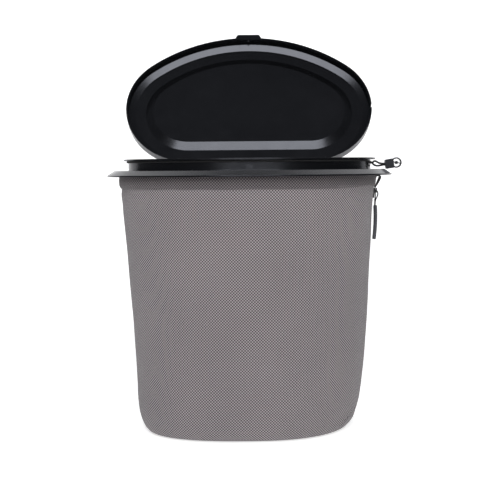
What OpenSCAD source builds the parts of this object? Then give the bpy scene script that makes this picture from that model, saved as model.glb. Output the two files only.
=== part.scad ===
// Hanging waste bin: a D-shaped ring frame with a hinged lid, a zipped fabric sleeve
// and an elastic cord with a cord lock that holds a liner bag round the neck.
// Origin: centre of the sleeve's underside on the line of greatest width. X to the right, Y to the back, Z up.

/* [Ring] */
// Half of the neck's greatest width, outside
neck_half_w = 123.4; // [110:0.1:140]
// Depth of the neck from the widest line to the front
neck_front = 79; // [72:0.5:90]
// Radius of the two round ends, and depth from the widest line to the straight back
neck_corner = 55.4; // [50:0.1:62]
// Height of the flange's flat ledge above the underside of the sleeve
ledge_z = 263.8; // [240:0.1:320]
// Height of the neck above the ledge
neck_h = 11.5; // [10:0.1:13]
// How far the flange stands out from the neck
flange_w = 21.6; // [20:0.1:26]
// How far the flange's ledge is flat before its lip slopes down
ledge_w = 14; // [13.5:0.1:15]
// Drop of the sloping lip
lip_drop = 4.6; // [3:0.1:7]
// Overhang of the thin rim plate at the top of the neck
rim_over = 4.9; // [3:0.1:5.5]
// Thickness of the moulded walls
wall = 2; // [1.6:0.1:2.4]

/* [Lid] */
// Angle of the lid from closed, as it stands open on its stops
lid_open = 119.2; // [90:0.1:122]
// Distance from the neck to the outside of the lid's skirt
skirt_out = 14.3; // [14:0.1:15]
// Height of the lid's flat band above the ledge
lid_h = 15.5; // [15:0.1:18]
// Depth of the oval plug that reaches down into the mouth
plug_drop = 4; // [2:0.1:6]
// Width of the thumb tab
tab_w = 31; // [20:1:40]
// Distance from the middle to each hinge
hinge_x = 45; // [30:1:52]
// Radius of the hinge pins
pin_r = 1.5; // [1.2:0.1:1.8]

/* [Sleeve] */
// Half-width of the sleeve at the top of its zip
sleeve_half_w = 128; // [125:0.5:130]
// Half-width of the sleeve just above its rounded bottom
sleeve_low_half_w = 112.5; // [105:0.5:120]
// Thickness of the lined fabric
fabric_t = 1.6; // [1:0.1:2]
// Radius of the sleeve's bottom edge
bottom_r = 13; // [8:0.5:20]
// Height of the folded hem below the flange
hem_h = 14.5; // [10:0.5:18]
// Opening at the zip in the band that holds the sleeve on
retain_gap = 22; // [18:1:30]

/* [Zip] */
// Height of the upper end of the closed zip
zip_top_z = 247.2; // [230:0.1:250]
// Length of the zip
zip_len = 208; // [150:1:210]
// Spacing of the zip's teeth
tooth_pitch = 3; // [2:0.5:4]
// Length of the grip on the zip pull
grip_len = 35; // [25:1:38]

/* [Cord lock] */
// Slope of the cord lock where it leans on the flange
lock_tilt = 9; // [5:1:12]
// Radius of the lock's round end
lock_ring_r = 5.4; // [5:0.1:6]

/* [Hidden] */
$fn = 48;

EPS = 0.01;
FRONT_STEPS = 32;
CORNER_STEPS = 32;
SEAM_GAP = 0.1;
black = [0.09, 0.09, 0.1];
dark = [0.16, 0.16, 0.17];
grey_fabric = [0.54, 0.52, 0.53];
tape_black = [0.1, 0.08, 0.09];

// Ring heights
rim_z = ledge_z + neck_h;
rim_plate_t = 1.8;
skirt_low_z = ledge_z - 16.6;
flange_t = 1.8;
lip_edge_t = 1.4;

// Lid: heights are above the ledge, offsets are outwards from the neck
lid_gap = 0.5;
shoulder_r = 5.7;
chamfer_w = 7.1;
chamfer_h = 2.5;
plug_out = -6.8;
plug_in = -15.4;
tab_reach = 5;
tab_t = 2.4;
tab_bevel = 0.8;
slit_x = 10.2;
slit_w = 0.8;
nib_r = 1.6;
nib_h = 4.5;
groove_depth = 0.6;
cord_notch_w = 4.6;
cord_notch_h = 6.6;

// Catch on the ledge that the lid's nib snaps behind
catch_w = 7;
catch_reach = 10.2;
catch_h = 4;

// Hinge
hinge_y = neck_corner + 15.6;
hinge_h = 6;
knuckle_r = 3.6;
knuckle_half = 4.6;
lug_t = 3;
lug_in = 5;
bore_clear = 0.05;
clear = 0.4;

// Back apron with its two screw holes, and the blocks above it that the open lid stops on
back_y = neck_corner + flange_w;
apron_half_w = 52;
apron_t = 2.5;
stop_h = 2.9;
apron_low_z = ledge_z - 34.6;
screw_x = 35;
screw_r = 2.2;
screw_z = ledge_z - 24.6;

// Zip frame: a straight line down the right side of the sleeve
zip_inset = 1.5;
zip_foot = 17.2;
zip_lean = atan2(sleeve_half_w - sleeve_low_half_w, zip_top_z - bottom_r - zip_foot);
tape_out = -1.5;
tape_t = 0.5;
tape_half_w = 10;
chain_gap = 1;
chain_out = 0.3;
slot_half_w = 5.5;
slider_len = 10.4;
slider_half_w = 4.2;
slider_top = 2.6;
plate_t = 1;
slider_outer = 0.6;
slider_inner = -2.4;
bail_r = 0.55;
pull_x = slider_outer + plate_t + 0.93;
pull_z = -slider_top - 1.85;
grip_r = 1.75;
grip_lean = 2.6;

// Cord lock
lock_pos = [138.6, 0, ledge_z + 4.4];
lock_t = 6.4;
lock_len = 9;
lock_h = 9.6;
lock_socket = 4.6;
ring_t = 3;
ring_u = 11.7;
window_r = 3.9;
hub_r = 1.7;
spoke_w = 1;
stem_u = 4.9;
stem_room = 1.7;
stem_len = 2.8;
cord_hole_w = 4.5;
cord_hole_h = 4.2;
cord_hole_deep = 3.2;

cord_r = 0.95;
// Route of the free elastic loop: out from the neck, into the lock and back; heights are above the ledge
LOOP_ROUTE = [[125.8, -1, 6.2], [126.7, -1.1, 7.3], [128.3, -1.1, 7.9], [130.2, -1.1, 7.2],
    [132, -1.1, 6.1], [134, -1.1, 5.5], [136.4, -1.1, 5.3], [138.6, -1.2, 5.3], [139.6, -1.2, 5.3],
    [140.4, -0.8, 5.1], [140.7, 0, 4.8], [140.4, 0.8, 4.5], [139.6, 1.2, 4.3], [138.6, 1.2, 4.2],
    [136.4, 1.1, 3.9], [134, 1.1, 3.4], [131.8, 1.1, 3.1], [129.8, 1.1, 3.2], [128, 1.1, 3.9],
    [126.7, 1.1, 4.9], [125.8, 1, 5.8]];

// Route of the zip pull's cord, from its hinge line in the bail
PULL_ROUTE = [[0.5, -0.7, -10.6], [0.5, -0.9, -9.2], [0.4, -1.3, -7.4], [0.2, -1.8, -5.2], [0, -1.9, -3],
    [0, -1.8, -1.6], [0, -1.4, -0.5], [0, -0.7, 0], [0, 0, 0], [0, 0.7, 0], [0.5, 1.5, -0.2], [1.4, 1.9, -0.8],
    [2.5, 1.7, -1.8], [3.2, 1.4, -3.7], [3.1, 1.1, -5.8], [2.4, 1, -7.8], [1.6, 1, -9.4], [1.2, 1, -10.6]];
pull_cord_r = 0.65;
grip_z = -15.9;
grip_seat = 2.5;
stem_r = 0.9;

// Sleeve: [height, half-width, depth to the front, depth to the back]
function sleeve_w(z) = sleeve_half_w - (zip_top_z - z) * tan(zip_lean);
SLEEVE_STATIONS = [[0, sleeve_low_half_w - 13, 66, 45], [1, sleeve_low_half_w - 7, 73, 51],
    [4, sleeve_low_half_w - 3, 77, 55], [bottom_r, sleeve_w(bottom_r) - 0.6, 80, 57.5],
    [60, sleeve_w(60), 82, 58.5], [150, sleeve_w(150), 83.5, 59.5], [zip_top_z, sleeve_half_w, 84.5, 60.3],
    [ledge_z - 2.4, sleeve_half_w + 0.8, 84.5, 60.4]];

// Points along an arc
function arc_points(cx, cy, r, a0, a1, n) =
    [for (i = [0:n]) let (a = a0 + (a1 - a0) * i / n) [cx + r * cos(a), cy + r * sin(a)]];

// A D: two round ends on the widest line, one long front arc tangent to both, and a straight back
function d_outline(half_w, front, corner) =
    let (cx = half_w - corner,
        k = front - corner,
        fy = (cx * cx - k * k) / (2 * k),
        t = atan2(cx, fy),
        front_arc = arc_points(0, fy, front + fy, 270 - t, 270 + t, FRONT_STEPS),
        right_arc = arc_points(cx, 0, corner, 270 + t, 450, CORNER_STEPS),
        left_arc = arc_points(-cx, 0, corner, 90, 270 - t, CORNER_STEPS))
    concat(front_arc,
        [for (i = [1:CORNER_STEPS]) right_arc[i]],
        [for (i = [0:CORNER_STEPS - 1]) left_arc[i]]);

function d_ring(half_w, front, corner, z) = [for (p = d_outline(half_w, front, corner)) [p[0], p[1], z]];
function neck_ring(d, z) = d_ring(neck_half_w + d, neck_front + d, neck_corner + d, z);
function sleeve_ring(s, inset) = d_ring(s[1] - inset, s[2] - inset, s[3] - inset, s[0]);

function flatten(lists) = [for (l = lists) for (p = l) p];

// Skin over a row of rings with the same number of points. Closed: the last ring joins the first.
module skin(rings, closed) {
    m = len(rings[0]);
    n = len(rings);
    last = closed ? n - 1 : n - 2;
    sides = [for (j = [0:last]) for (i = [0:m - 1])
        let (a = j * m, b = ((j + 1) % n) * m, k = (i + 1) % m) [a + i, b + i, b + k, a + k]];
    start_cap = [for (i = [0:m - 1]) i];
    end_cap = [for (i = [m - 1:-1:0]) (n - 1) * m + i];
    polyhedron(flatten(rings), closed ? sides : concat(sides, [start_cap, end_cap]));
}

// Ring of constant section round the neck; the section's points are [offset, height]
module neck_sweep(section) {
    skin([for (p = section) neck_ring(p[0], p[1])], true);
}

// Directions along a route, and one sideways direction carried along it without twisting
function route_dir(route, i) =
    let (d = route[min(i + 1, len(route) - 1)] - route[max(i - 1, 0)]) d / norm(d);
function carry(u, t) = let (v = u - (u * t) * t) v / norm(v);
function route_sides(route, u, i = 0) =
    i == len(route) ? [] : let (v = carry(u, route_dir(route, i))) concat([v], route_sides(route, v, i + 1));

// Round tube along a route; up is any direction across its start
module tube(route, r, sides, up) {
    across = route_sides(route, up);
    rings = [for (i = [0:len(route) - 1])
        let (t = route_dir(route, i), u = across[i], v = cross(t, u))
        [for (k = [0:sides - 1]) route[i] + r * (cos(360 * k / sides) * u + sin(360 * k / sides) * v)]];
    skin(rings, false);
}

// Bar along X, centred
module x_rod(r, half, x = 0) {
    translate([x - half, 0, 0]) rotate([0, 90, 0]) cylinder(r = r, h = 2 * half);
}

module at_hinge() {
    translate([0, hinge_y, ledge_z + hinge_h]) children();
}

module both_hinges() {
    for (x = [-hinge_x, hinge_x]) translate([x, 0, 0]) children();
}

// Moves a lid drawn closed to where it stands open
module lid_at_rest() {
    at_hinge() rotate([-lid_open, 0, 0]) translate([0, -hinge_y, -ledge_z - hinge_h]) children();
}

module hinge_lug() {
    at_hinge() x_rod(knuckle_r, lug_t / 2);
    translate([-lug_t / 2, hinge_y - 3, ledge_z - 4.6]) cube([lug_t, 6, hinge_h + 4.6]);
}

module ring_frame() {
    color(black) difference() {
        union() {
            neck_sweep([[-wall, skirt_low_z], [0, skirt_low_z], [0, ledge_z - flange_t],
                [ledge_w - 0.4, ledge_z - flange_t], [flange_w, ledge_z - lip_drop - lip_edge_t],
                [flange_w, ledge_z - lip_drop], [ledge_w, ledge_z], [0, ledge_z], [0, rim_z - rim_plate_t],
                [rim_over, rim_z - rim_plate_t], [rim_over, rim_z], [-wall, rim_z]]);
            both_hinges() for (s = [-1, 1]) translate([s * (lug_in + lug_t / 2), 0, 0]) hinge_lug();
            both_hinges() translate([-knuckle_half, back_y - apron_t, ledge_z - 5])
                cube([2 * knuckle_half, apron_t, 5 + stop_h]);
            translate([-apron_half_w, back_y - apron_t, apron_low_z])
                cube([2 * apron_half_w, apron_t, ledge_z - lip_drop - apron_low_z]);
            translate([-catch_w / 2, -neck_front - catch_reach, ledge_z - 1])
                cube([catch_w, catch_reach + 1, catch_h + 1]);
        }
        both_hinges() at_hinge() x_rod(pin_r, lug_in + lug_t + 1);
        for (x = [-screw_x, screw_x]) translate([x, neck_corner, screw_z]) rotate([-90, 0, 0])
            cylinder(r = screw_r, h = 40);
    }
}

module hinge_pin(x) {
    color("silver") at_hinge() x_rod(pin_r, lug_in + lug_t, x);
}
module hinge_pin_left() { hinge_pin(-hinge_x); }
module hinge_pin_right() { hinge_pin(hinge_x); }

// The lid's section from the middle of its plug, down the skirt, over the shoulder and in to the middle of its top
module lid_shell() {
    base_h = ledge_z;
    in_out = skirt_out - wall;
    ceiling = lid_h - wall;
    shoulder_x = skirt_out - shoulder_r;
    shoulder_z = lid_h - shoulder_r;
    section = concat(
        [[plug_in, ceiling - plug_drop], [plug_out, ceiling], [in_out - chamfer_w, ceiling],
            [in_out, ceiling - chamfer_h], [in_out, lid_gap], [skirt_out, lid_gap]],
        [for (a = [0:11.25:90]) [shoulder_x + shoulder_r * cos(a), shoulder_z + shoulder_r * sin(a)]],
        [[plug_out - 0.2, lid_h], [plug_in - 0.6, lid_h - plug_drop]]);
    skin([for (p = section) neck_ring(p[0], base_h + p[1])], false);
}

// Outline of the thumb tab, narrower towards its tip
function tab_ring(inset, z) =
    let (w = tab_w / 2 - inset, y = -neck_front - skirt_out, tip = y - tab_reach + inset)
    [[-w, y + 1, z], [-w + 2.2, tip + 1.3, z], [-w + 3.6, tip, z],
     [w - 3.6, tip, z], [w - 2.2, tip + 1.3, z], [w, y + 1, z]];
module thumb_tab() {
    low = ledge_z + lid_gap;
    skin([tab_ring(tab_bevel, low), tab_ring(0, low + tab_bevel), tab_ring(0, low + tab_t)], false);
}

// Shallow groove across the lid's inner chamfer
module chamfer_groove(x) {
    mid = skirt_out - wall - chamfer_w / 2;
    translate([x, -neck_front - mid, ledge_z + lid_h - wall - chamfer_h / 2])
        rotate([atan2(chamfer_h, chamfer_w), 0, 0]) translate([-slit_w / 2, -chamfer_w * 0.48, -groove_depth])
            cube([slit_w, chamfer_w * 0.96, 2 * groove_depth]);
}

module lid() {
    color(black) lid_at_rest() difference() {
        union() {
            difference() {
                lid_shell();
                both_hinges() at_hinge() x_rod(knuckle_r + clear, lug_in + lug_t + clear);
                both_hinges() translate([-lug_in - lug_t - clear, hinge_y - 6, ledge_z - 1])
                    cube([2 * (lug_in + lug_t + clear), 6, hinge_h + 1]);
            }
            thumb_tab();
            translate([0, -neck_front - skirt_out + wall, ledge_z + nib_h]) sphere(r = nib_r);
            both_hinges() {
                at_hinge() x_rod(knuckle_r, knuckle_half);
                translate([-knuckle_half, hinge_y - 4.5, ledge_z + hinge_h]) cube([2 * knuckle_half, 4.5, 6]);
            }
        }
        both_hinges() at_hinge() x_rod(pin_r + bore_clear, knuckle_half + 1);
        for (x = [-slit_x, slit_x]) chamfer_groove(x);
        translate([neck_half_w + skirt_out - wall - 2, -cord_notch_w / 2, ledge_z])
            cube([6, cord_notch_w, cord_notch_h]);
    }
}

// Band inside the sleeve's hem that clips over the skirt of the frame
module retaining_ring() {
    low = skirt_low_z - 2;
    top = ledge_z - 2.4;
    color(dark) difference() {
        neck_sweep([[0.3, low], [2.6, low], [2.6, top], [0.3, top]]);
        translate([neck_half_w - 10, -retain_gap / 2, low - 1]) cube([20, retain_gap, top - low + 2]);
    }
}

// The elastic runs under the rim plate and dips at the right, where its two ends turn out into the lock
function elastic_z(p) = rim_z - rim_plate_t - cord_r - 0.05 - 2.6 * pow(max(0, p[0] / norm(p)), 60);
module neck_elastic() {
    sides = 8;
    ring = d_outline(neck_half_w + cord_r + 0.05, neck_front + cord_r + 0.05, neck_corner + cord_r + 0.05);
    color(black) skin([for (k = [0:sides - 1]) let (a = 360 * k / sides)
        [for (p = ring) let (u = p / norm(p)) [p[0] + u[0] * cord_r * cos(a), p[1] + u[1] * cord_r * cos(a),
            elastic_z(p) + cord_r * sin(a)]]], true);
}

module elastic_loop() {
    color(black) translate([0, 0, ledge_z]) tube(LOOP_ROUTE, cord_r, 8, [0, 1, 0]);
}

// Lock frame: X along the lock away from the bin, Z across it
module lock_frame() {
    translate(lock_pos) rotate([0, -lock_tilt, 0]) children();
}

// A flat plate in the lock's plane, centred on its thickness
module lock_plate(t) {
    translate([0, t / 2, 0]) rotate([90, 0, 0]) linear_extrude(t) children();
}

module rounded_rect(w, h, r) {
    translate([r, -h / 2]) square([w - 2 * r, h]);
    translate([0, -h / 2 + r]) square([w, h - 2 * r]);
    for (x = [r, w - r]) for (y = [-h / 2 + r, h / 2 - r]) translate([x, y]) circle(r);
}

module lock_body() {
    color(black) lock_frame() difference() {
        lock_plate(lock_t) rounded_rect(lock_len, lock_h, 1.4);
        lock_plate(ring_t + 0.6) translate([lock_socket, -lock_h]) square([lock_len, 2 * lock_h]);
        translate([stem_u - stem_room, -1.3, -2.4]) cube([4, 2.6, 4.8]);
        translate([-1, -cord_hole_w / 2, -cord_hole_h / 2])
            cube([cord_hole_deep + 1, cord_hole_w, cord_hole_h]);
    }
}

module lock_plunger() {
    color(black) lock_frame() {
        difference() {
            lock_plate(ring_t) translate([ring_u, 0]) circle(lock_ring_r);
            lock_plate(ring_t + 1) translate([ring_u, 0]) circle(window_r);
        }
        lock_plate(ring_t - 0.6) translate([ring_u, 0]) circle(hub_r);
        lock_plate(ring_t - 1.4) translate([ring_u, 0]) for (a = [155, -20]) rotate(a) translate([0, -spoke_w / 2])
            square([window_r + 0.4, spoke_w]);
        translate([stem_u, -0.9, -1.9]) cube([stem_len, 1.8, 3.8]);
    }
}

// Sleeve: one lofted wall, open at the top, closed below
module sleeve_shell() {
    inner = [for (s = SLEEVE_STATIONS) sleeve_ring([max(s[0], fabric_t), s[1], s[2], s[3]], fabric_t)];
    outer = [for (s = SLEEVE_STATIONS) sleeve_ring(s, 0)];
    n = len(SLEEVE_STATIONS);
    skin(concat(outer, [for (i = [n - 1:-1:2]) inner[i]]), false);
}

module zip_slot() {
    zip_frame() translate([-10, -slot_half_w, -zip_len - 3]) cube([20, 2 * slot_half_w, zip_len + 30]);
}

module sleeve_front() {
    color(grey_fabric) difference() {
        intersection() {
            sleeve_shell();
            translate([-200, -200, bottom_r]) cube([400, 200 - SEAM_GAP, 300]);
        }
        zip_slot();
    }
}
module sleeve_back() {
    color(grey_fabric) difference() {
        intersection() {
            sleeve_shell();
            translate([-200, SEAM_GAP, bottom_r]) cube([400, 200, 300]);
        }
        zip_slot();
    }
}
module sleeve_base() {
    color(grey_fabric) intersection() {
        sleeve_shell();
        translate([-200, -200, -1]) cube([400, 400, bottom_r + 1 - SEAM_GAP]);
    }
}

// Folded hem round the top of the sleeve, broken where the zip comes up
module hem_band() {
    top = ledge_z - 3;
    out = sleeve_half_w + 0.9 - neck_half_w;
    color(grey_fabric) difference() {
        neck_sweep([[out, top - hem_h], [out + 2.6, top - hem_h + 1.2], [out + 4, top - hem_h + 4],
            [out + 4, top - 3], [out + 2.6, top], [out, top]]);
        translate([100, -9, 200]) cube([60, 18, 100]);
    }
}

// Bound seam down the left side, inside the sleeve
module side_seam() {
    x = fabric_t + 0.4;
    color(grey_fabric) translate([-sleeve_half_w, 0, zip_top_z]) rotate([0, -zip_lean, 0])
        translate([x, -1.2, -zip_len]) cube([4, 2.4, zip_len - 3]);
}

// Zip frame: X out of the fabric, Z up the zip, from the zip's upper end
module zip_frame() {
    translate([sleeve_half_w - zip_inset, 0, zip_top_z]) rotate([0, zip_lean, 0]) children();
}

module zip_tape(side) {
    y = side > 0 ? chain_gap / 2 + 0.2 : -tape_half_w;
    color(tape_black) zip_frame() translate([tape_out - tape_t, y, -zip_len])
        cube([tape_t, tape_half_w - chain_gap / 2 - 0.2, zip_len]);
}
module zip_tape_front() { zip_tape(-1); }
module zip_tape_back() { zip_tape(1); }

// One half of the coil: a spine on the tape with a row of teeth towards the other half
module zip_teeth(side) {
    shift = side > 0 ? 0 : tooth_pitch / 2;
    color(tape_black) zip_frame() {
        for (i = [0:floor((zip_len - 8) / tooth_pitch) - 1])
            translate([tape_out, side > 0 ? chain_gap / 2 : -chain_gap / 2 - 1.5, -5 - shift - i * tooth_pitch])
                cube([chain_out - tape_out, 1.5, tooth_pitch * 0.55]);
        translate([tape_out, side > 0 ? chain_gap / 2 + 1.1 : -chain_gap / 2 - 2, -zip_len + 3])
            cube([chain_out - tape_out - 0.5, 0.9, zip_len - 5]);
    }
}
module zip_teeth_front() { zip_teeth(-1); }
module zip_teeth_back() { zip_teeth(1); }

// The upper ends of the tapes, folded out to a small triangle with an oval gap
module zip_end_tab() {
    tip = [sleeve_half_w + 0.4, zip_top_z - 1.8];
    color(tape_black) translate([0, 1.6, 0]) rotate([90, 0, 0]) linear_extrude(3.2) difference() {
        polygon([tip, tip + [6.4, 10.8], tip + [6.4, 12.2], tip + [5.4, 12.8], tip + [0.8, 12.8],
                 tip + [-0.6, 3]]);
        translate(tip + [2, 8.6]) circle(0.7);
        translate(tip + [1.5, 6.6]) circle(0.6);
    }
}

module zip_bottom_stop() {
    color("dimgray") zip_frame() translate([0, 0, -zip_len + 0.4]) {
        translate([tape_out + 0.1, -2.2, 0]) cube([1.5, 4.4, 2.2]);
        translate([tape_out - tape_t - 0.8, -2.2, 0]) cube([0.7, 4.4, 2.2]);
        translate([tape_out - tape_t - 0.8, -0.5, 0]) cube([2, 1, 2.2]);
    }
}

module slider_body() {
    low = -slider_top - slider_len;
    color(black) zip_frame() {
        for (x = [slider_outer, slider_inner - plate_t])
            translate([x, -slider_half_w, low]) cube([plate_t, 2 * slider_half_w, slider_len]);
        translate([slider_inner - EPS, -0.2, -slider_top - 3])
            cube([slider_outer - slider_inner + 2 * EPS, 0.4, 3]);
    }
}

// Small arch on the slider that holds the pull
module slider_bail() {
    x0 = slider_outer + plate_t + EPS;
    span = 3.8;
    top = 2.4;
    color(black) zip_frame() translate([x0, 0, -slider_top - bail_r]) {
        for (z = [0, -span]) translate([0, 0, z]) rotate([0, 90, 0]) cylinder(r = bail_r, h = top);
        translate([top, 0, -span]) cylinder(r = bail_r, h = span);
        for (z = [0, -span]) translate([top, 0, z]) sphere(r = bail_r);
    }
}

module pull_frame() {
    zip_frame() translate([pull_x, 0, pull_z]) children();
}

module pull_cord() {
    color(black) pull_frame() {
        tube(PULL_ROUTE, pull_cord_r, 8, [1, 0, 0]);
        rotate([90, 0, 0]) cylinder(r = pull_cord_r + 0.02, h = 1.3, center = true);
        translate([0.8, 0.25, grip_z - grip_seat]) cylinder(r = stem_r, h = 6 + grip_seat);
    }
}

module pull_grip() {
    color(dark) pull_frame() translate([0.8, 0.25, grip_z]) rotate([0, grip_lean - zip_lean, 0])
        translate([0, 0, -grip_len]) difference() {
            cylinder(r = grip_r, h = grip_len);
            translate([0, 0, grip_len - grip_seat - 0.5]) cylinder(r = stem_r + 0.15, h = grip_seat + 1);
        }
}

ring_frame();
hinge_pin_left();
hinge_pin_right();
lid();
retaining_ring();
neck_elastic();
elastic_loop();
lock_body();
lock_plunger();
sleeve_front();
sleeve_back();
sleeve_base();
hem_band();
side_seam();
zip_tape_front();
zip_tape_back();
zip_teeth_front();
zip_teeth_back();
zip_end_tab();
zip_bottom_stop();
slider_body();
slider_bail();
pull_cord();
pull_grip();
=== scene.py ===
"""A hanging waste bin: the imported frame, lid and lock, with the sleeve, zip and cords made here."""
import math

import bpy
import numpy as np
from mathutils import Matrix, Vector, noise


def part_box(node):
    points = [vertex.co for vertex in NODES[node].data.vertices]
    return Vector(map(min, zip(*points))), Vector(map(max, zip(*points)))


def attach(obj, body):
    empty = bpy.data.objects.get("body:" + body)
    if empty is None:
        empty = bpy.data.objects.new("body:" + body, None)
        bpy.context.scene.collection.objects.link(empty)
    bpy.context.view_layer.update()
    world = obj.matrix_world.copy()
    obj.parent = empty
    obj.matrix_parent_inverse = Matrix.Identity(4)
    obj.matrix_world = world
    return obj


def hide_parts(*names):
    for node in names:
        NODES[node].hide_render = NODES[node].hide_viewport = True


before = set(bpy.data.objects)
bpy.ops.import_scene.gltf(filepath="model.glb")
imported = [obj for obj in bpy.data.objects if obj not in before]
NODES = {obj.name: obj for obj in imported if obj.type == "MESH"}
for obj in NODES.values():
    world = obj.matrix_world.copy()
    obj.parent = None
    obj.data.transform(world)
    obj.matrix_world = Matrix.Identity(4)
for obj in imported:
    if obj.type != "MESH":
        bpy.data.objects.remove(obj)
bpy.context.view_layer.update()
MM = 0.001

# The D outline of the neck and the places that the sleeve and zip are built from, in millimetres
NECK = (123.4, 79.0, 55.4)
LEDGE_Z = 263.8
ZIP_TOP = (126.5, 247.2)
ZIP_LEAN = math.atan2(15.5, 217.0)
ZIP_LENGTH = 208.0

# ---------------------------------------------------------------- helpers


def mesh_piece(name, verts, faces, material):
    """A new smooth-shaded object from points in millimetres."""
    mesh = bpy.data.meshes.new(name)
    mesh.from_pydata([[c * MM for c in p] for p in verts], [], faces)
    mesh.update()
    mesh.polygons.foreach_set("use_smooth", [True] * len(mesh.polygons))
    mesh.materials.append(material)
    piece = bpy.data.objects.new(name, mesh)
    bpy.context.scene.collection.objects.link(piece)
    return piece


def modifier(piece, kind, **values):
    made = piece.modifiers.new(kind.title(), kind)
    for key, value in values.items():
        setattr(made, key, value)
    return made


def arc(cx, cy, radius, start, end, steps):
    angles = np.radians(np.linspace(start, end, steps + 1))
    return np.column_stack([cx + radius * np.cos(angles), cy + radius * np.sin(angles)])


def d_outline(half_w, front, corner, steps=60):
    """A D from its front's left end: two round ends, a front arc tangent to both and a straight back."""
    cx, k = half_w - corner, front - corner
    fy = (cx * cx - k * k) / (2 * k)
    turn = math.degrees(math.atan2(cx, fy))
    return np.vstack([
        arc(0, fy, front + fy, 270 - turn, 270 + turn, steps),
        arc(cx, 0, corner, 270 + turn, 450, steps)[1:],
        arc(-cx, 0, corner, 90, 270 - turn, steps)[:-1],
    ])


def neck_outline(off):
    """The neck's outline, that far outside its wall."""
    return d_outline(NECK[0] + off, NECK[1] + off, NECK[2] + off)


def resample(points, count):
    """Evenly spaced points on an outline, from where its right side crosses the widest line.

    Returns the points, how far along the outline each one is, and the outline's length.
    """
    first = next(i for i in range(len(points))
                 if points[i - 1][1] <= 0 < points[i][1] and points[i][0] > 0)
    low, high = points[first - 1], points[first]
    start = low + (high - low) * (0 - low[1]) / (high[1] - low[1])
    ring = np.vstack([start, np.roll(points, -first, axis=0), start])
    along = np.concatenate([[0], np.cumsum(np.linalg.norm(np.diff(ring, axis=0), axis=1))])
    wanted = np.linspace(0, along[-1], count + 1)[:-1]
    return np.column_stack([np.interp(wanted, along, ring[:, i]) for i in (0, 1)]), wanted, along[-1]


def smooth_route(points, per_span=6):
    """A Catmull-Rom curve through a route's points."""
    p = [2 * np.array(points[0]) - np.array(points[1])] + [np.array(q, float) for q in points]
    p.append(2 * p[-1] - p[-2])
    out = []
    for i in range(1, len(p) - 2):
        for t in np.arange(per_span) / per_span:
            out.append(0.5 * (2 * p[i] + (p[i + 1] - p[i - 1]) * t
                              + (2 * p[i - 1] - 5 * p[i] + 4 * p[i + 1] - p[i + 2]) * t ** 2
                              + (3 * p[i] - p[i - 1] - 3 * p[i + 1] + p[i + 2]) * t ** 3))
    out.append(p[-2])
    return np.array(out)


def frames_along(route):
    """Direction and two sideways directions at each point of a route, carried along without twisting."""
    route = np.array(route, float)
    ahead = np.gradient(route, axis=0)
    ahead /= np.linalg.norm(ahead, axis=1)[:, None]
    side = np.cross(ahead[0], [0.13, 0.21, 0.97])
    sides = []
    for t in ahead:
        side = side - t * (side @ t)
        side /= np.linalg.norm(side)
        sides.append(side)
    sides = np.array(sides)
    return ahead, sides, np.cross(ahead, sides)


def tube(name, route, radius, material, sides=12, closed=False):
    """A round tube along a route; radius is one number or one for each point."""
    route = np.array(route, float)
    n = len(route)
    radii = np.broadcast_to(radius, n)
    ahead, u, v = frames_along(route)
    angles = np.linspace(0, 2 * np.pi, sides, endpoint=False)
    verts = [route[i] + radii[i] * (math.cos(a) * u[i] + math.sin(a) * v[i])
             for i in range(n) for a in angles]
    faces = []
    for i in range(n if closed else n - 1):
        j = (i + 1) % n
        for k in range(sides):
            m = (k + 1) % sides
            faces.append((i * sides + k, i * sides + m, j * sides + m, j * sides + k))
    if not closed:
        faces.append(tuple(range(sides - 1, -1, -1)))
        faces.append(tuple(range((n - 1) * sides, n * sides)))
    return mesh_piece(name, verts, faces, material)


def join_meshes(name, parts, body):
    """Joins objects into one piece that rides on a body."""
    bpy.ops.object.select_all(action="DESELECT")
    for part in parts:
        part.select_set(True)
    bpy.context.view_layer.objects.active = parts[0]
    bpy.ops.object.join()
    parts[0].name = name
    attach(parts[0], body)
    return parts[0]


def zip_point(x, y, z):
    """A point in the zip's own frame, X out of the fabric and Z up the zip, in the bin's frame."""
    c, s = math.cos(ZIP_LEAN), math.sin(ZIP_LEAN)
    return (ZIP_TOP[0] + x * c + z * s, y, ZIP_TOP[1] - x * s + z * c)


# ---------------------------------------------------------------- materials


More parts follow.
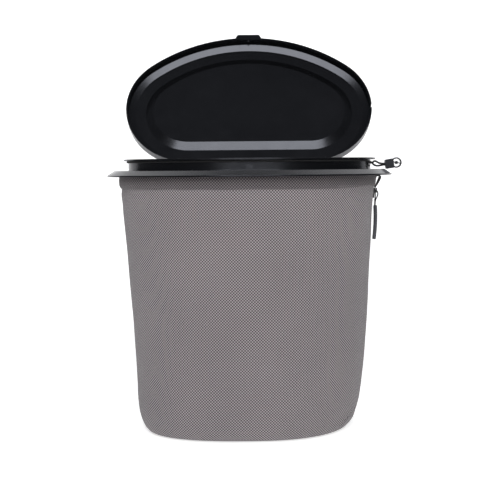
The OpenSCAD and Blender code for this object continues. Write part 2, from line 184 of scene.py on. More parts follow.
class Nodes:
    """Short names for building a material's nodes."""

    def __init__(self, name):
        self.material = bpy.data.materials.new(name)
        self.material.use_nodes = True
        self.tree = self.material.node_tree
        self.shader = self.tree.nodes["Principled BSDF"]

    def add(self, kind, **values):
        node = self.tree.nodes.new(kind)
        for key, value in values.items():
            if key in node.inputs:
                node.inputs[key].default_value = value
            else:
                setattr(node, key, value)
        return node

    def link(self, source, target):
        self.tree.links.new(source, target)

    def math(self, operation, a, b=None):
        node = self.add("ShaderNodeMath", operation=operation)
        for i, value in enumerate((a, b)):
            if value is None:
                continue
            if isinstance(value, (int, float)):
                node.inputs[i].default_value = value
            else:
                self.link(value, node.inputs[i])
        return node.outputs[0]

    def ramp(self, factor, low, high, start=0.0, end=1.0):
        node = self.add("ShaderNodeValToRGB")
        node.color_ramp.elements[0].position = start
        node.color_ramp.elements[1].position = end
        node.color_ramp.elements[0].color = (*low, 1)
        node.color_ramp.elements[1].color = (*high, 1)
        self.link(factor, node.inputs[0])
        return node.outputs[0]

    def mix(self, factor, a, b, blend="MIX"):
        node = self.add("ShaderNodeMix", data_type="RGBA", blend_type=blend)
        for socket, value in ((node.inputs[0], factor), (node.inputs[6], a), (node.inputs[7], b)):
            if isinstance(value, (int, float)):
                socket.default_value = value
            elif isinstance(value, tuple):
                socket.default_value = (*value, 1)
            else:
                self.link(value, socket)
        return node.outputs[2]

    def noise(self, scale, detail=2.0, vector=None, roughness=0.5):
        node = self.add("ShaderNodeTexNoise", Scale=scale, Detail=detail, Roughness=roughness)
        self.link(vector or self.place(), node.inputs["Vector"])
        return node.outputs["Fac"]

    def place(self):
        return self.add("ShaderNodeTexCoord").outputs["Object"]

    def bump(self, height, strength, distance):
        node = self.add("ShaderNodeBump", Strength=strength, Distance=distance)
        self.link(height, node.inputs["Height"])
        self.link(node.outputs[0], self.shader.inputs["Normal"])

    def set(self, **values):
        for key, value in values.items():
            self.shader.inputs[key.replace("_", " ")].default_value = value


def moulded_plastic(name, color, roughness, grain=900.0, grain_depth=0.00002):
    """Injection-moulded plastic: fine spark grain, faint flow marks, and a roughness that varies a little."""
    n = Nodes(name)
    place = n.place()
    flow = n.noise(14.0, 3.0, place)
    tint = tuple(min(1.0, c * 1.5 + 0.0008) for c in color)
    n.link(n.ramp(flow, color, tint, 0.3, 0.8), n.shader.inputs["Base Color"])
    fine = n.noise(grain, 2.0, place)
    wear = n.noise(60.0, 4.0, place)
    low, high = (roughness * 0.9,) * 3, (min(1.0, roughness * 1.22),) * 3
    mottle = n.math("ADD", n.math("MULTIPLY", fine, 0.4), n.math("MULTIPLY", wear, 0.6))
    n.link(n.ramp(mottle, low, high, 0.3, 0.7), n.shader.inputs["Roughness"])
    n.bump(fine, 0.35, grain_depth)
    # Painted light colour: the reflections are tinted blue to stand in for a bluish light
    n.set(IOR=1.5, Specular_Tint=(0.86, 0.89, 1.0, 1))
    return n.material


WEAVE_REPEAT = 2.85
WEAVE_DEPTH = 0.00035


def basket_weave(name, light, dark):
    """Two-tone basket weave from a map named weave, in millimetres: light yarns up, dark yarns across."""
    n = Nodes(name)
    where = n.add("ShaderNodeUVMap", uv_map="weave").outputs[0]
    parts = n.add("ShaderNodeSeparateXYZ")
    wander = n.add("ShaderNodeTexNoise", Scale=60.0, Detail=1.0)
    n.link(n.place(), wander.inputs["Vector"])
    n.link(where, parts.inputs[0])
    drift = n.math("MULTIPLY", n.math("SUBTRACT", wander.outputs["Fac"], 0.5), 0.5)
    along = n.math("MULTIPLY", n.math("ADD", parts.outputs[0], drift), 2 * math.pi / WEAVE_REPEAT)
    up = n.math("MULTIPLY", n.math("ADD", parts.outputs[1], drift), 2 * math.pi / WEAVE_REPEAT)
    cell = n.math("MULTIPLY", n.math("SINE", along), n.math("SINE", up))
    dome = n.math("POWER", n.math("ABSOLUTE", cell), 0.6)
    tone = n.math("ADD", n.math("MULTIPLY", cell, 0.5), 0.5)
    fibres = n.add("ShaderNodeTexNoise", Scale=3.2, Detail=3.0, Roughness=0.7)
    n.link(where, fibres.inputs["Vector"])
    patch = n.noise(11.0, 3.0)
    yarn = n.ramp(tone, dark, light, 0.3, 0.72)
    # Painted shade: the colour darkens where the yarn floats dip between crossings, following the bump
    shade = n.ramp(dome, (0.55, 0.55, 0.55), (1.0, 1.0, 1.0), 0.0, 0.55)
    grain = n.ramp(fibres.outputs["Fac"], (0.8, 0.79, 0.79), (1.14, 1.13, 1.13), 0.25, 0.75)
    cloud = n.ramp(patch, (0.93, 0.93, 0.94), (1.05, 1.04, 1.04), 0.3, 0.7)
    color = yarn
    for layer in (shade, grain, cloud):
        color = n.mix(1.0, color, layer, "MULTIPLY")
    n.link(color, n.shader.inputs["Base Color"])
    height = n.math("ADD", dome, n.math("MULTIPLY", fibres.outputs["Fac"], 0.25))
    n.bump(height, 0.9, WEAVE_DEPTH)
    n.set(Roughness=0.9, Sheen_Weight=0.12, Sheen_Roughness=0.5, IOR=1.4)
    return n.material


def braid(name, color, repeat=0.0011):
    """Braided cord cover: two crossed sets of fine yarns."""
    n = Nodes(name)
    parts = n.add("ShaderNodeSeparateXYZ")
    n.link(n.place(), parts.inputs[0])
    total = n.math("ADD", n.math("ADD", parts.outputs[0], parts.outputs[1]), parts.outputs[2])
    cross = n.math("SUBTRACT", n.math("ADD", parts.outputs[0], parts.outputs[1]), parts.outputs[2])
    turn = 2 * math.pi / repeat
    cell = n.math("MULTIPLY", n.math("SINE", n.math("MULTIPLY", total, turn)),
                  n.math("SINE", n.math("MULTIPLY", cross, turn)))
    lift = n.math("ABSOLUTE", cell)
    # Painted highlight and shade: raised yarns are coloured lighter and the gaps between them darker,
    # following the bump
    lighter = tuple(c * 1.6 + 0.003 for c in color)
    n.link(n.ramp(lift, color, lighter, 0.1, 0.9), n.shader.inputs["Base Color"])
    n.bump(lift, 0.4, 0.00008)
    n.set(Roughness=0.8, Sheen_Weight=0.08, Sheen_Roughness=0.4)
    return n.material


def woven_tape(name, color, repeat=0.0009):
    """Fine herringbone tape."""
    n = Nodes(name)
    parts = n.add("ShaderNodeSeparateXYZ")
    n.link(n.place(), parts.inputs[0])
    turn = 2 * math.pi / repeat
    ribs = n.math("SINE", n.math("MULTIPLY", parts.outputs[2], turn))
    slant = n.math("SINE", n.math("MULTIPLY", n.math("ADD", parts.outputs[2], parts.outputs[1]), turn * 1.3))
    height = n.math("ADD", n.math("MULTIPLY", ribs, 0.5), n.math("MULTIPLY", slant, 0.5))
    # Painted highlight and shade: the ribs are coloured lighter and the hollows darker, following the bump
    lighter = tuple(c * 2.2 + 0.008 for c in color)
    n.link(n.ramp(height, color, lighter, 0.2, 0.95), n.shader.inputs["Base Color"])
    n.bump(height, 0.7, 0.0001)
    n.set(Roughness=0.85, Sheen_Weight=0.15)
    return n.material


def painted_metal(name, color, roughness, metallic=0.0):
    """Metal, bare or painted, with fine scuffs that are lighter and rougher."""
    n = Nodes(name)
    place = n.place()
    scuff = n.noise(300.0, 4.0, place)
    lighter = tuple(c * 1.6 + 0.01 for c in color)
    n.link(n.ramp(scuff, color, lighter, 0.45, 0.8), n.shader.inputs["Base Color"])
    n.link(n.ramp(scuff, (roughness,) * 3, (roughness * 1.4,) * 3), n.shader.inputs["Roughness"])
    n.bump(n.noise(1500.0, 2.0, place), 0.2, 0.00002)
    n.set(Metallic=metallic)
    return n.material


BLACK_PLASTIC = moulded_plastic("black_moulding", (0.003, 0.0032, 0.0038), 0.2, 900.0, 0.00001)
RING_PLASTIC = moulded_plastic("ring_plastic", (0.03, 0.03, 0.031), 0.6)
LOCK_PLASTIC = moulded_plastic("lock_plastic", (0.002, 0.002, 0.0024), 0.2, 2200.0, 0.00001)
GRIP_RUBBER = moulded_plastic("grip_rubber", (0.035, 0.035, 0.039), 0.62, 2600.0, 0.00004)
SLEEVE_CLOTH = basket_weave("sleeve_weave", (0.335, 0.314, 0.322), (0.027, 0.021, 0.025))
# The hem's weave is a darker copy of the sleeve's: painted shadow cast by the ledge above it
SHADOWED_HEM_CLOTH = basket_weave("hem_weave_painted_shadow", (0.17, 0.155, 0.161), (0.014, 0.01, 0.012))
LINING = woven_tape("sleeve_lining", (0.12, 0.118, 0.12), 0.0007)
CORD_BRAID = braid("cord_braid", (0.008, 0.008, 0.009))
TAPE = woven_tape("zip_tape", (0.018, 0.014, 0.016))
COIL = moulded_plastic("zip_coil", (0.02, 0.016, 0.018), 0.4, 3000.0)
THREAD = braid("stitch_thread", (0.2, 0.185, 0.19), 0.0006)
SLIDER_PAINT = painted_metal("slider_paint", (0.02, 0.018, 0.02), 0.38)
STEEL = painted_metal("pin_steel", (0.45, 0.45, 0.46), 0.32, 1.0)

# ---------------------------------------------------------------- camera

FOCAL_MM = 70.1
EYE = (-0.0002, -1.0, 0.2672)
PITCH_DEG = 4.9
ROLL_DEG = 0.5


def make_camera():
    data = bpy.data.cameras.new("camera")
    data.lens = FOCAL_MM
    data.sensor_width = 36
    data.clip_end = 20
    data.dof.use_dof = False
    camera = bpy.data.objects.new("camera", data)
    bpy.context.scene.collection.objects.link(camera)
    pitch = Matrix.Rotation(math.radians(90 - PITCH_DEG), 4, "X")
    roll = Matrix.Rotation(math.radians(-ROLL_DEG), 4, "Z")
    camera.matrix_world = Matrix.Translation(EYE) @ (pitch @ roll)
    bpy.context.scene.camera = camera


make_camera()
bpy.context.scene.view_settings.view_transform = "Standard"

# ---------------------------------------------------------------- cords

CORD_R = 0.95
# The free loop's route; heights are above the frame's ledge
LOOP_ROUTE = [(125.8, -1, 6.2), (126.7, -1.1, 7.3), (128.3, -1.1, 7.9), (130.2, -1.1, 7.2),
              (132, -1.1, 6.1), (134, -1.1, 5.5), (136.4, -1.1, 5.3), (138.6, -1.2, 5.3),
              (139.6, -1.2, 5.3), (140.4, -0.8, 5.1), (140.7, 0, 4.8), (140.4, 0.8, 4.5),
              (139.6, 1.2, 4.3), (138.6, 1.2, 4.2), (136.4, 1.1, 3.9), (134, 1.1, 3.4),
              (131.8, 1.1, 3.1), (129.8, 1.1, 3.2), (128, 1.1, 3.9), (126.7, 1.1, 4.9),
              (125.8, 1, 5.8)]
NECK_H = 11.5
RIM_T = 1.8
NECK_CORD_GAP = 0.05
NECK_CORD_DIP = 2.6


def make_elastic():
    """The elastic round the neck, and the free loop of it that ends in the cord lock."""
    route = smooth_route([(x, y, LEDGE_Z + z) for x, y, z in LOOP_ROUTE], 4)
    loop = tube("elastic_loop_cord", route, CORD_R, CORD_BRAID, 12)
    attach(loop, "bin")
    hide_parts("elastic_loop")
    off = CORD_R + NECK_CORD_GAP
    ring = resample(neck_outline(off), 320)[0]
    away = ring / np.linalg.norm(ring, axis=1)[:, None]
    at_the_lock = np.maximum(0, away[:, 0]) ** 60
    z = LEDGE_Z + NECK_H - RIM_T - off - NECK_CORD_DIP * at_the_lock
    neck = tube("neck_elastic_cord", np.column_stack([ring, z]), CORD_R, CORD_BRAID, 12, closed=True)
    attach(neck, "bin")
    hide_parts("neck_elastic")


make_elastic()

# ---------------------------------------------------------------- sleeve

# Height, half-width to the left and to the right, depth to the front and to the back
SLEEVE = [(0, 101, 93, 68, 46), (1.2, 105.5, 97.5, 73, 51), (4, 109, 101.5, 76, 53.5),
          (9, 112, 105.5, 78.5, 55.5),
          (16, 114.6, 108, 80, 57), (28, 116.6, 111.6, 81.3, 57.8), (48.6, 117.8, 114.4, 82, 58.2),
          (69, 119, 116.7, 82.5, 58.5), (89.5, 120.3, 118.3, 82.8, 58.8), (110, 121.4, 119.8, 83, 59),
          (130, 122.9, 121, 83.3, 59.2), (151, 124.4, 121.8, 83.6, 59.4), (183, 126.4, 123.7, 84, 59.8),
          (200, 127.8, 125.1, 84.2, 60), (224, 129.6, 127, 84.4, 60.2), (245, 129.8, 128.6, 84.5, 60.3),
          (262, 129.8, 129, 84.6, 60.4)]
COLUMNS = 400
WALL_ROWS = 96
BASE_ROWS = 14
CENTRE_RINGS = 10
SLOT_COLUMNS = 2
SLOT_FOOT_Z = 38
TURN_Z = 16
CLOTH_T = 1.2


def spline(stations, z):
    """Smooth values between the sleeve's stations."""
    table = np.array(stations, float)
    zs = table[:, 0]
    i = int(np.clip(np.searchsorted(zs, z) - 1, 0, len(zs) - 2))
    t = (z - zs[i]) / (zs[i + 1] - zs[i])
    slopes = np.gradient(table[:, 1:], zs, axis=0)
    h = zs[i + 1] - zs[i]
    return ((1 + 2 * t) * (1 - t) ** 2 * table[i, 1:] + t * (1 - t) ** 2 * h * slopes[i]
            + t * t * (3 - 2 * t) * table[i + 1, 1:] + t * t * (t - 1) * h * slopes[i + 1])


BOXY_FROM, BOXY_TO = 12, 120
BOXY_LEFT, BOXY_RIGHT, BOXY_BACK = 2.85, 2.1, 2.6


def boxy(outline, half, front, back, z):
    """Low down the sewn bag is fuller at its corners than the neck above it."""
    weight = 1 - smooth_step(BOXY_FROM, BOXY_TO, z)
    if weight == 0:
        return outline
    out = []
    for x, y in outline:
        depth = front if y < 0 else back
        power = BOXY_BACK
        if y <= 0:
            power = BOXY_RIGHT + (BOXY_LEFT - BOXY_RIGHT) * (0.5 - 0.5 * x / half)
        reach = math.hypot(x, y)
        full = ((abs(x) / reach / half) ** power + (abs(y) / reach / depth) ** power) ** (-1 / power)
        scale = 1 + weight * (max(full, reach) / reach - 1)
        out.append((x * scale, y * scale))
    return np.array(out)


def sleeve_ring(z):
    """One level of the sleeve, as resample gives it, from the zip round by the back."""
    left, right, front, back = spline(SLEEVE, z)
    half = (left + right) / 2
    ring, along, total = resample(boxy(d_outline(half, front, back), half, front, back, z), COLUMNS)
    shift = (right - left) / 2
    ring[:, 0] += shift
    return ring, along, total


def smooth_step(low, high, value):
    t = min(1.0, max(0.0, (value - low) / (high - low)))
    return t * t * (3 - 2 * t)


def soft_noise(x, y, z, scale):
    return noise.noise(Vector((x, y, z)) / scale)


GATHERS_FROM = 207


def cloth_relief(x, y, z):
    """How far the hanging cloth stands in or out of its pattern, in millimetres."""
    sag = 0.9 * soft_noise(x, y, z * 0.45, 46) + 0.45 * soft_noise(x + 90, y, z * 0.3, 19)
    near_the_hem = max(0.0, (z - GATHERS_FROM) / 50) ** 1.5
    return sag + 0.5 * soft_noise(x * 1.6, y * 1.6 + 30, z * 0.12, 11) * near_the_hem


# The dart's line, and the lip that stands out on each side of it: how far off, how wide and how high
CREASE_FROM = (104, -28, 21)
CREASE_TO = (84, -52, 4)
CREASE_DEPTH, CREASE_WIDTH = 2.6, 1.8
LIP_OFF, LIP_WIDTH = 3.5, 3
LIP_ABOVE, LIP_BELOW = 1.2, -0.6


def crease(x, y, z):
    """A soft dart at the lower right corner, where the cloth folds over itself."""
    a, b, p = (np.array(q, float) for q in (CREASE_FROM, CREASE_TO, (x, y, z)))
    t = float(np.clip((p - a) @ (b - a) / ((b - a) @ (b - a)), 0, 1))
    across = (p - (a + t * (b - a)))
    distance = float(np.linalg.norm(across))
    lip = LIP_BELOW if across[2] < 0 else LIP_ABOVE
    ends = math.sin(math.pi * min(1, max(0, 0.15 + 0.7 * t)))
    groove = -CREASE_DEPTH * math.exp(-(distance / CREASE_WIDTH) ** 2)
    return ends * (groove + lip * math.exp(-((distance - LIP_OFF) / LIP_WIDTH) ** 2))


def sleeve_levels():
    wall = np.linspace(LEDGE_Z - 3, TURN_Z, WALL_ROWS)
    turn = [TURN_Z * (1 - math.sin(math.radians(a))) for a in np.linspace(0, 90, BASE_ROWS + 1)[1:]]
    return np.concatenate([wall, turn])


def bell(value, middle, width):
    return math.exp(-((value - middle) / width) ** 2)


def cloth_push(x, y, z, from_zip):
    """How far the cloth stands out at a place: its relief, the dart, and the channel beside the zip."""
    push = cloth_relief(x, y, z) * min(1.0, (LEDGE_Z - 2.6 - z) / 12 + 0.15) * min(1.0, z / 14)
    push += crease(x, y, z)
    push -= max(0.0, push + 0.3) * bell(from_zip, 0, 11)
    if z > SLOT_FOOT_Z - 1:
        fade = min(1.0, (z - (SLOT_FOOT_Z - 1)) / 6)
        push -= fade * 1.9 * bell(from_zip, 0, 4.2)
        push += fade * 0.5 * bell(from_zip, 6.5, 2.2)
        push -= fade * 0.35 * bell(from_zip, 9.6, 0.7)
    near_zip = bell(from_zip, 0, 24)
    push -= 2.2 * near_zip * smooth_step(182, 233, z)
    push += 0.9 * (1 - near_zip) * bell(z, 239, 6)
    return min(push, 2.4)


def wall_points(levels):
    """The sleeve's wall: its points, and each one's place on the weave as along, round and down."""
    verts, where = [], []
    run = 0.0
    before = None
    for row, z in enumerate(levels):
        ring, along, total = sleeve_ring(z)
        if row:
            front_middle = ring[COLUMNS * 3 // 4] - before[COLUMNS * 3 // 4]
            run += np.linalg.norm(np.append(front_middle, z - levels[row - 1]))
        before = ring
        inward = np.roll(ring, -1, axis=0) - np.roll(ring, 1, axis=0)
        outward = np.column_stack([inward[:, 1], -inward[:, 0]])
        outward /= np.linalg.norm(outward, axis=1)[:, None]
        for i in range(COLUMNS):
            x, y = ring[i]
            push = cloth_push(x, y, z, min(along[i], total - along[i]))
            verts.append((x + outward[i, 0] * push, y + outward[i, 1] * push, z))
            where.append((along[i], total, run))
    return verts, where


def add_base(verts, where):
    """The base closes the wall in rings to its middle, a little above the floor."""
    low_ring = np.array(verts[-COLUMNS:])
    low_where = where[-COLUMNS:]
    total, run = low_where[0][1:]
    middle = np.array([-1.0, 4.0, 0.6])
    for k in range(1, CENTRE_RINGS + 1):
        t = k / (CENTRE_RINGS + 1)
        for i in range(COLUMNS):
            p = low_ring[i] * (1 - t) + middle * t
            p[2] = 0.6 * (1 - (1 - t) ** 2) + 0.12 * soft_noise(p[0], p[1], 0, 25)
            p[2] = max(0.0, p[2])
            verts.append(tuple(p))
            where.append((low_where[i][0], total, run + 70 * t))
    verts.append(tuple(middle))
    where.append((0, 1, run + 75))


def weave_place(place, on_the_back):
    """A point's place on the weave, counted from the middle of the front or of the back."""
    along, total, down = place
    centre = total / 4 if on_the_back else total * 3 / 4
    return (along - centre, -down)


def add_weave_map(piece, uvs):
    layer = piece.data.uv_layers.new(name="weave")
    layer.data.foreach_set("uv", np.array(uvs, np.float32).ravel())


def make_sleeve():
    """The sewn bag: a wall that is open along the zip, and a base, with the lining inside."""
    levels = sleeve_levels()
    verts, where = wall_points(levels)
    add_base(verts, where)
    rows = len(levels)
    faces, uvs = [], []
    for row in range(rows + CENTRE_RINGS - 1):
        for i in range(COLUMNS):
            j = (i + 1) % COLUMNS
            z = levels[row] if row < rows else 0
            in_slot = i < SLOT_COLUMNS or i >= COLUMNS - SLOT_COLUMNS
            if in_slot and z > SLOT_FOOT_Z:
                continue
            a, b = row * COLUMNS, (row + 1) * COLUMNS
            faces.append((a + i, b + i, b + j, a + j))
            corners = [weave_place(where[k], i < COLUMNS // 2) for k in faces[-1]]
            if j == 0:
                width = where[a][1]
                corners[2] = (corners[2][0] + width, corners[2][1])
                corners[3] = (corners[3][0] + width, corners[3][1])
            uvs.extend(corners)
    last = (rows + CENTRE_RINGS - 1) * COLUMNS
    for i in range(COLUMNS):
        faces.append((last + i, len(verts) - 1, last + (i + 1) % COLUMNS))
        uvs.extend([(verts[k][0], verts[k][1]) for k in faces[-1]])
    sleeve = mesh_piece("sleeve_cloth", verts, faces, SLEEVE_CLOTH)
    add_weave_map(sleeve, uvs)
    sleeve.data.materials.append(LINING)
    modifier(sleeve, "SOLIDIFY", thickness=CLOTH_T * MM, offset=-1, material_offset=1,
             material_offset_rim=0)
    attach(sleeve, "bin")
    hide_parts("sleeve_front", "sleeve_back", "sleeve_base")


make_sleeve()

# The hem's section, as distance outside the neck's wall and height from the ledge
HEM_SECTION = [(5.6, -17.2), (6.6, -18), (7.8, -17.6), (8.8, -16.3), (9.4, -14.4), (9.6, -12),
               (9.6, -9.2), (9.4, -6.6), (8.8, -4.6), (7.6, -3.3), (6.2, -3.2), (5.6, -4)]
HEM_COUNT = 420
HEM_GAP = 6
HEM_TUCK = 3.4


def hem_rise(x, y):
    """How far the hem wanders up and down."""
    return 0.35 * soft_noise(x, y, 7.0, 22)


def hem_point(point, off, z, end):
    """A point of the hem: lumpy, pinched at its ends, and tucked in toward the right."""
    x, y = point
    away = point / np.linalg.norm(point)
    lump = 0.28 * soft_noise(x, y, z * 0.5, 14) + 0.16 * soft_noise(x + 40, y, z, 5)
    pinch = 1 - 0.3 * math.exp(-(end / 3.0) ** 2)
    lift = (off - HEM_SECTION[0][0]) * (pinch - 1) + lump - HEM_TUCK * smooth_step(68, 116, x)
    return (x + away[0] * lift, y + away[1] * lift, z + hem_rise(x, y))


def make_hem():
    """The folded hem: a double layer round the top, thicker than the wall, open at the zip, in a darker weave
    that paints the ledge's shadow on it.
    """
    keep = list(range(HEM_GAP, HEM_COUNT - HEM_GAP + 1))
    verts, where, faces, uvs = [], [], [], []
    down = 0.0
    for j, (off, height) in enumerate(HEM_SECTION):
        ring, along, total = resample(neck_outline(off), HEM_COUNT)
        if j:
            down += math.hypot(off - HEM_SECTION[j - 1][0], height - HEM_SECTION[j - 1][1])
        for i in keep:
            end = min(i - HEM_GAP, HEM_COUNT - HEM_GAP - i)
            verts.append(hem_point(ring[i], off, LEDGE_Z + height, end))
            where.append((along[i], total, down))
    width = len(keep)
    n = len(HEM_SECTION)
    for j in range(n):
        k = (j + 1) % n
        for i in range(width - 1):
            faces.append((j * width + i, k * width + i, k * width + i + 1, j * width + i + 1))
            uvs.extend(weave_place(where[v], keep[i] < HEM_COUNT // 2) for v in faces[-1])
    faces.append(tuple(j * width for j in range(n)))
    faces.append(tuple(j * width + width - 1 for j in range(n - 1, -1, -1)))
    uvs.extend([(j, 0) for j in range(2 * n)])
    hem = mesh_piece("hem_cloth", verts, faces, SHADOWED_HEM_CLOTH)
    add_weave_map(hem, uvs)
    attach(hem, "bin")
    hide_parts("hem_band")


make_hem()

# ---------------------------------------------------------------- zip


TAPE_INNER, TAPE_W, TAPE_X, TAPE_T = 0.7, 9.3, -1.6, 0.4
TOOTH_PITCH = 1.25
WIRE_R = 0.3
COIL_TOP = -4.2
COIL_SHORT = 8
COIL_Y, COIL_REACH = 1.05, 1.15
COIL_X, COIL_THICK = -0.45, 0.62


def make_zip():
    """Both tapes, each with its half of the coil."""
    for side, name in ((-1, "front"), (1, "back")):
        rows, cols = 70, 6
        verts, faces = [], []
        for r in range(rows + 1):
            z = -ZIP_LENGTH * r / rows
            for c in range(cols + 1):
                y = side * (TAPE_INNER + TAPE_W * c / cols)
                x = TAPE_X - 0.25 * (c / cols) ** 2 + 0.08 * soft_noise(y, z, side, 6)
                verts.append(zip_point(x, y, z))
        for r in range(rows):
            for c in range(cols):
                a = r * (cols + 1) + c
                faces.append((a, a + 1, a + cols + 2, a + cols + 1))
        tape = mesh_piece("zip_tape_" + name + "_cloth", verts, faces, TAPE)
        modifier(tape, "SOLIDIFY", thickness=TAPE_T * MM, offset=0)
        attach(tape, "bin")
        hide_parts("zip_tape_" + name)
        make_coil(side, name)


def make_coil(side, name):
    """One half of a nylon coil: a loop of round wire for each tooth."""
    count = int((ZIP_LENGTH - COIL_SHORT) / TOOTH_PITCH)
    route = []
    for i in range(count):
        z = COIL_TOP - (i + (0.5 if side > 0 else 0)) * TOOTH_PITCH
        for t in np.arange(8) / 8:
            a = 2 * math.pi * t
            y = side * (COIL_Y - COIL_REACH * math.cos(a))
            x = COIL_X + COIL_THICK * math.sin(a)
            route.append(zip_point(x, y, z - t * TOOTH_PITCH))
    coil = tube("zip_coil_" + name, route, WIRE_R, COIL, 6)
    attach(coil, "bin")
    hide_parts("zip_teeth_" + name)


make_zip()


# Each limb of the folded tape ends: its route, with heights from the ledge, and its radii
TAB_LIMBS = {
    "left": ([(128.1, 0.4, -19), (128.3, 0.2, -15.6), (128.6, 0, -11.6), (129.2, 0, -8), (130.4, 0, -6.2)],
             [0.5, 0.75, 0.8, 0.95, 1.0]),
    "right": ([(128.3, -0.4, -19.2), (129.8, -0.3, -16.4), (131.6, 0, -13), (133.2, 0, -9.4),
               (133.9, 0, -7.2)], [0.55, 1.0, 1.35, 1.5, 1.1]),
    "top": ([(129.2, 0, -7.2), (131, 0, -6.6), (133.8, 0, -7)], [0.9, 1.1, 1.0]),
}


def make_end_tab():
    """The folded upper ends of the tapes: two thick limbs that meet in a point, with a gap between them."""
    limbs = []
    for name, (route, radii) in TAB_LIMBS.items():
        curve = smooth_route([(x, y, LEDGE_Z + z) for x, y, z in route], 6)
        spread = np.interp(np.linspace(0, 1, len(curve)), np.linspace(0, 1, len(radii)), radii)
        limbs.append(tube("tab_" + name, curve, spread, TAPE, 14))
    tab = join_meshes("zip_end_fold", limbs, "bin")
    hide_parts("zip_end_tab")


make_end_tab()

# The pull's routes start at the slider's bail and follow the zip's lean
BAIL = (2.53, 0, -4.45)
PULL_ROUTE = [(0.5, -0.7, -10.6), (0.5, -0.9, -9.2), (0.4, -1.3, -7.4), (0.2, -1.8, -5.2), (0, -1.9, -3),
              (0, -1.8, -1.6), (0, -1.4, -0.5), (0, -0.7, 0), (0, 0, 0), (0, 0.7, 0), (0.5, 1.5, -0.2),
              (1.4, 1.9, -0.8), (2.5, 1.7, -1.8), (3.2, 1.4, -3.7), (3.1, 1.1, -5.8), (2.4, 1, -7.8),
              (1.6, 1, -9.4), (1.2, 1, -10.6)]
SHANK_ROUTE = [(0.8, 0.15, -10), (0.8, 0.15, -13), (0.8, 0.25, -17)]
PULL_CORD_R = 0.65
GRIP_TOP = (0.8, 0.25, -15.9)
GRIP_R = 1.95
GRIP_RINGS = 40


def from_bail(points):
    """Points of the pull, in the zip's frame from the bail, as points in the bin's frame."""
    c, s = math.cos(ZIP_LEAN), math.sin(ZIP_LEAN)
    lean = np.array([[c, 0, s], [0, 1, 0], [-s, 0, c]])
    return [np.array(zip_point(*BAIL)) + lean @ np.array(p) for p in points]


def make_pull_cord():
    """A braided loop through the slider's bail, and the shank where its ends go into the grip."""
    loop = tube("pull_loop", from_bail(smooth_route(PULL_ROUTE, 4)), PULL_CORD_R, CORD_BRAID, 12)
    neck = from_bail(smooth_route(SHANK_ROUTE, 5))
    shank = tube("pull_shank", neck, [1.15] * 2 + [0.95] * 2 + [0.85] * (len(neck) - 4), CORD_BRAID, 10)
    cord = join_meshes("pull_loop_cord", [loop, shank], "zip_pull")
    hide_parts("pull_cord")


def make_grip():
    """The soft moulded grip: a little bowed, narrower at both ends, with two fine grooves low down."""
    low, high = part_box("pull_grip")
    top = from_bail([GRIP_TOP])[0]
    length = (high.z - low.z) / MM
    axis, radii = [], []
    for i in range(GRIP_RINGS + 1):
        t = i / GRIP_RINGS
        bow = 0.3 + 0.6 * math.sin(math.pi * t) - 1.1 * t ** 1.6
        axis.append((top[0] + bow, top[1], top[2] - length * t * 0.998))
        ends = min(1.0, 0.82 + 6 * t, 0.82 + 6 * (1 - t))
        groove = 0.06 if 0.82 < t < 0.86 or 0.9 < t < 0.94 else 0
        radii.append(GRIP_R * ends - groove)
    grip = tube("pull_grip_rubber", axis, radii, GRIP_RUBBER, 24)
    modifier(grip, "BEVEL", width=0.25 * MM, segments=2, limit_method="ANGLE")
    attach(grip, "zip_pull")
    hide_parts("pull_grip")


make_pull_cord()
make_grip()

STITCH_R = 0.16
STITCH_OFF = 7.9
STITCH_DROP = 16
STITCHES = 260
STITCH_LONG = 0.68


def make_stitches():
    """Topstitching: short thread dashes round the bottom of the hem."""
    verts, faces = [], []

    def dash(a, b):
        a, b = np.array(a), np.array(b)
        t = (b - a) / np.linalg.norm(b - a)
        out = np.array([a[0], a[1], 0]) / math.hypot(a[0], a[1])
        w = np.cross(t, out)
        for p, k in ((a, 0.4), ((a + b) / 2 + out * 0.12, 1.0), (b, 0.4)):
            start = len(verts)
            for ang in range(0, 360, 60):
                c, s = math.cos(math.radians(ang)), math.sin(math.radians(ang))
                verts.append(tuple(p + STITCH_R * k * (c * w + s * out)))
            if k != 0.4 or p is b:
                for q in range(6):
                    faces.append((start - 6 + q, start - 6 + (q + 1) % 6, start + (q + 1) % 6, start + q))
        first = len(verts) - 18
        faces.append(tuple(range(first + 5, first - 1, -1)))
        faces.append(tuple(range(first + 12, first + 18)))

    ring = resample(neck_outline(STITCH_OFF), STITCHES)[0]
    for i in range(5, STITCHES - 5):
        a, b = ring[i], ring[i + 1]
        z = LEDGE_Z - STITCH_DROP + hem_rise(a[0], a[1])
        m = a + (b - a) * STITCH_LONG
        dash((*a, z), (*m, z))
    stitches = mesh_piece("hem_stitches", verts, faces, THREAD)
    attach(stitches, "bin")


make_stitches()


def make_seam():
    """The bound seam inside, opposite the zip."""
    low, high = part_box("side_seam")
    rows = 90
    profile = [(-0.9, -0.35), (0.9, -0.35), (1.15, 0.8), (0.5, 3.2), (0, 3.7), (-0.5, 3.2), (-1.15, 0.8)]
    verts, faces = [], []
    for r in range(rows + 1):
        z = high.z / MM - (high.z - low.z) / MM * r / rows
        left = spline(SLEEVE, z)[0]
        for y, x in profile:
            wave = 0.25 * soft_noise(y, x, z, 9)
            verts.append((-left + 1.5 + x, y + wave * x, z))
    n = len(profile)
    for r in range(rows):
        for k in range(n):
            m = (k + 1) % n
            faces.append((r * n + k, r * n + m, (r + 1) * n + m, (r + 1) * n + k))
    faces.append(tuple(range(n - 1, -1, -1)))
    faces.append(tuple(range(rows * n, rows * n + n)))
    seam = mesh_piece("side_seam_binding", verts, faces, LINING)
    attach(seam, "bin")
    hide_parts("side_seam")


make_seam()

# ---------------------------------------------------------------- moulded and metal parts from the frame

SHARP_DEG = 15.0

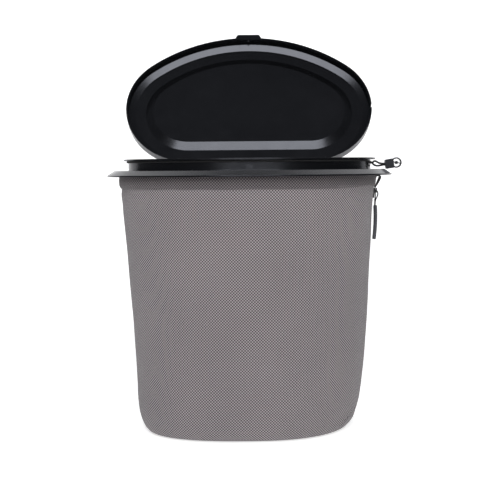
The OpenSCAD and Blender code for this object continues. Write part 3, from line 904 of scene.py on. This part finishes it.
# Each CAD node that shows, with its material and its bevel in millimetres
FINISHES = {
    "ring_frame": (BLACK_PLASTIC, 0.35),
    "lid": (BLACK_PLASTIC, 0.12),
    "retaining_ring": (RING_PLASTIC, 0.3),
    "lock_body": (LOCK_PLASTIC, 0.3),
    "lock_plunger": (LOCK_PLASTIC, 0.22),
    "hinge_pin_left": (STEEL, 0.15),
    "hinge_pin_right": (STEEL, 0.15),
    "zip_bottom_stop": (STEEL, 0.15),
    "slider_body": (SLIDER_PAINT, 0.2),
    "slider_bail": (SLIDER_PAINT, 0.08),
}


def finish_node(name, material, bevel):
    """A CAD node as it is: its material, smooth shading with sharp edges kept, and a fine bevel."""
    node = NODES[name]
    mesh = node.data
    mesh.materials.clear()
    mesh.materials.append(material)
    mesh.polygons.foreach_set("use_smooth", [True] * len(mesh.polygons))
    mesh.set_sharp_from_angle(angle=math.radians(SHARP_DEG))
    modifier(node, "WELD", merge_threshold=0.002 * MM)
    modifier(node, "BEVEL", width=bevel * MM, segments=3, limit_method="ANGLE",
             angle_limit=math.radians(SHARP_DEG), harden_normals=False)
    modifier(node, "WEIGHTED_NORMAL", keep_sharp=True, weight=100)


for part, (finish, bevel_mm) in FINISHES.items():
    finish_node(part, finish, bevel_mm)

# ---------------------------------------------------------------- stage and light

# The floor in metres: its width, where it ends in front of the camera and behind the bin, and the sweep
FLOOR_GLOW = 0.5
FLOOR_NEAR, FLOOR_FRONT = -2.6, -0.4
FLOOR_W, FLOOR_DEPTH, BACKDROP_H, SWEEP_R = 9.0, 1.4, 3.0, 0.7
FLOOR_DROP = 0.3


def stage_sheet(name, profile, material):
    """A flat sheet across the stage that follows a profile, in metres, from the front to the back."""
    half = FLOOR_W / 2 / MM
    verts = [(s * half, y / MM, z / MM - FLOOR_DROP) for y, z in profile for s in (-1, 1)]
    faces = [(2 * i, 2 * i + 1, 2 * i + 3, 2 * i + 2) for i in range(len(profile) - 1)]
    return mesh_piece(name, verts, faces, material)


def make_stage():
    """A plain pale floor that sweeps up into the backdrop and glows evenly, like a light table.

    The part in front of the bin isn't mirrored in the black plastic.
    """
    n = Nodes("pale_floor")
    n.link(n.ramp(n.noise(3.0, 2.0), (0.86, 0.86, 0.865), (0.9, 0.9, 0.9)), n.shader.inputs["Base Color"])
    n.set(Roughness=0.9, Emission_Color=(1, 1, 1, 1), Emission_Strength=FLOOR_GLOW)
    profile = [(FLOOR_FRONT, 0.0), (FLOOR_DEPTH - SWEEP_R, 0.0)]
    for angle in range(6, 91, 6):
        turn = math.radians(angle)
        profile.append((FLOOR_DEPTH - SWEEP_R + SWEEP_R * math.sin(turn), SWEEP_R - SWEEP_R * math.cos(turn)))
    profile.append((FLOOR_DEPTH, BACKDROP_H))
    floor = stage_sheet("floor", profile, n.material)
    front = stage_sheet("floor_front", [(FLOOR_NEAR, 0.0), (FLOOR_FRONT, 0.0)], n.material)
    front.visible_glossy = False


def area_light(name, place, target, size, power):
    data = bpy.data.lights.new(name, "AREA")
    data.shape = "RECTANGLE"
    data.size, data.size_y = size
    data.energy = power
    light = bpy.data.objects.new(name, data)
    bpy.context.scene.collection.objects.link(light)
    light.location = place
    light.rotation_euler = (Vector(target) - Vector(place)).to_track_quat("-Z", "Y").to_euler()


def make_world():
    """A dim room, darker below the horizon than above it."""
    world = bpy.data.worlds.new("studio")
    bpy.context.scene.world = world
    world.use_nodes = True
    tree = world.node_tree
    place = tree.nodes.new("ShaderNodeTexCoord")
    parts = tree.nodes.new("ShaderNodeSeparateXYZ")
    ramp = tree.nodes.new("ShaderNodeValToRGB")
    ramp.color_ramp.elements[0].position = 0.3
    ramp.color_ramp.elements[0].color = (0.03, 0.031, 0.034, 1)
    ramp.color_ramp.elements[1].position = 0.62
    ramp.color_ramp.elements[1].color = (0.1, 0.103, 0.113, 1)
    tree.links.new(place.outputs["Generated"], parts.inputs[0])
    tree.links.new(parts.outputs[2], ramp.inputs[0])
    tree.links.new(ramp.outputs[0], tree.nodes["Background"].inputs["Color"])
    tree.nodes["Background"].inputs["Strength"].default_value = 1.0


make_stage()
make_world()
area_light("front_soft", (0, -2.4, 1.34), (0, 0, 0.3), (2.2, 1.76), 84)
